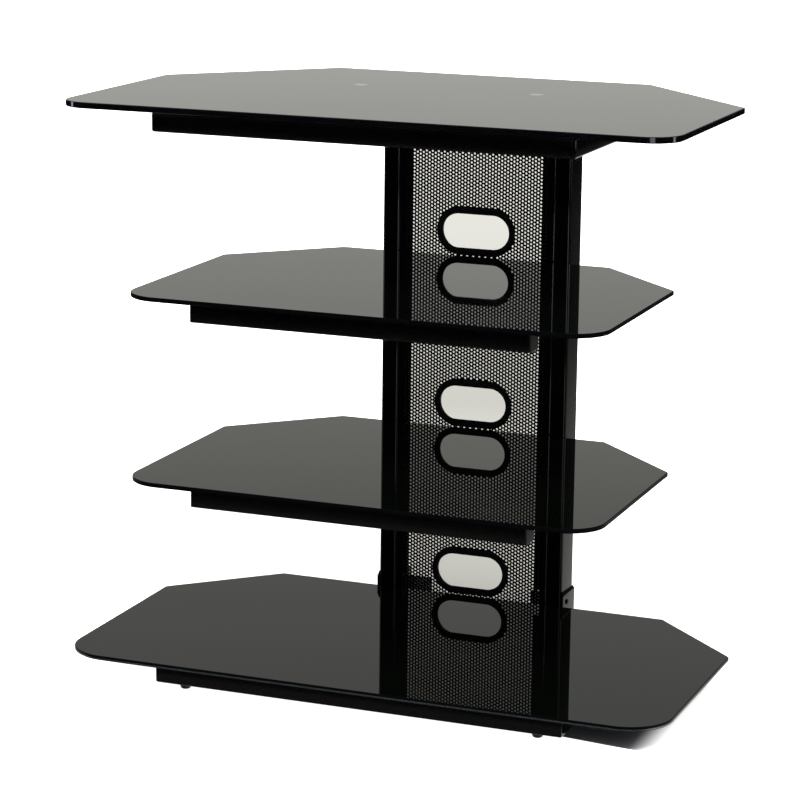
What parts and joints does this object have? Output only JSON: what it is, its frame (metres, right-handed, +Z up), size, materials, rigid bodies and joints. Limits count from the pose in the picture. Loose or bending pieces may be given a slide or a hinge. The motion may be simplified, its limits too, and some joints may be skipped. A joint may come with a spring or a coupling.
{
  "type": "audio stand",
  "caption": "Open audio stand: black tempered glass shelves cantilevered from a column of steel posts, with a perforated back panel, oval cable grommets and levelling feet.",
  "frame": {"origin": "centre of the stand's width and depth, on the floor under its feet", "axes": "+X along the shelves to the viewer's right, +Y from the front to the back, +Z up"},
  "size_m": [0.812, 0.505, 0.757],
  "materials": {
    "black_glass": "polished black tempered glass, opaque from a step away, mirror gloss",
    "powder_coat": "smooth black powder coat, satin gloss",
    "perforated_steel": "perforated sheet in smooth black powder coat",
    "black_plastic": "moulded black plastic, satin",
    "foot_nylon": "moulded black nylon",
    "clear_pad": "clear bonding pad",
    "black_fastener": "black oxide steel"
  },
  "bodies": {
    "stand": {"top_glass": "black_glass", "upper_shelf_glass": "black_glass", "lower_shelf_glass": "black_glass", "base_glass": "black_glass", "left_post": "powder_coat", "right_post": "powder_coat", "left_post_shoe": "powder_coat", "right_post_shoe": "powder_coat", "back_panel": "perforated_steel", "left_panel_rail": "powder_coat", "right_panel_rail": "powder_coat", "upper_cable_grommet": "black_plastic", "middle_cable_grommet": "black_plastic", "lower_cable_grommet": "black_plastic", "top_front_rail": "powder_coat", "top_rear_rail": "powder_coat", "top_left_rail": "powder_coat", "top_right_rail": "powder_coat", "top_left_arm": "powder_coat", "top_right_arm": "powder_coat", "upper_crossbar": "powder_coat", "upper_left_arm": "powder_coat", "upper_right_arm": "powder_coat", "upper_left_plug": "black_plastic", "upper_right_plug": "black_plastic", "lower_crossbar": "powder_coat", "lower_left_arm": "powder_coat", "lower_right_arm": "powder_coat", "lower_left_plug": "black_plastic", "lower_right_plug": "black_plastic", "base_front_rail": "powder_coat", "base_rear_rail": "powder_coat", "base_left_rail": "powder_coat", "base_right_rail": "powder_coat", "top_left_bolt": "black_fastener", "top_right_bolt": "black_fastener", "upper_left_bolt": "black_fastener", "upper_right_bolt": "black_fastener", "lower_left_bolt": "black_fastener", "lower_right_bolt": "black_fastener", "left_shoe_screw": "black_fastener", "right_shoe_screw": "black_fastener", "top_front_strip": "clear_pad", "top_left_disc": "clear_pad", "top_right_disc": "clear_pad", "upper_front_strip": "clear_pad", "upper_left_disc": "clear_pad", "upper_right_disc": "clear_pad", "lower_front_strip": "clear_pad", "lower_left_disc": "clear_pad", "lower_right_disc": "clear_pad", "base_front_strip": "clear_pad", "base_left_disc": "clear_pad", "base_right_disc": "clear_pad"},
    "front_left_foot": {"front_left_foot": "foot_nylon"},
    "front_right_foot": {"front_right_foot": "foot_nylon"},
    "rear_left_foot": {"rear_left_foot": "foot_nylon"},
    "rear_right_foot": {"rear_right_foot": "foot_nylon"}
  },
  "joints": [
    {"name": "front_left_foot_screw", "type": "hinge", "parent": "stand", "child": "front_left_foot", "pos_m": [-0.24, -0.2175, 0], "axis": [0, 0, -1], "range_deg": [0, 2880]},
    {"name": "front_right_foot_screw", "type": "hinge", "parent": "stand", "child": "front_right_foot", "pos_m": [0.24, -0.2175, 0], "axis": [0, 0, -1], "range_deg": [0, 2880]},
    {"name": "rear_left_foot_screw", "type": "hinge", "parent": "stand", "child": "rear_left_foot", "pos_m": [-0.24, 0.1782, 0], "axis": [0, 0, -1], "range_deg": [0, 2880]},
    {"name": "rear_right_foot_screw", "type": "hinge", "parent": "stand", "child": "rear_right_foot", "pos_m": [0.24, 0.1782, 0], "axis": [0, 0, -1], "range_deg": [0, 2880]}
  ]
}
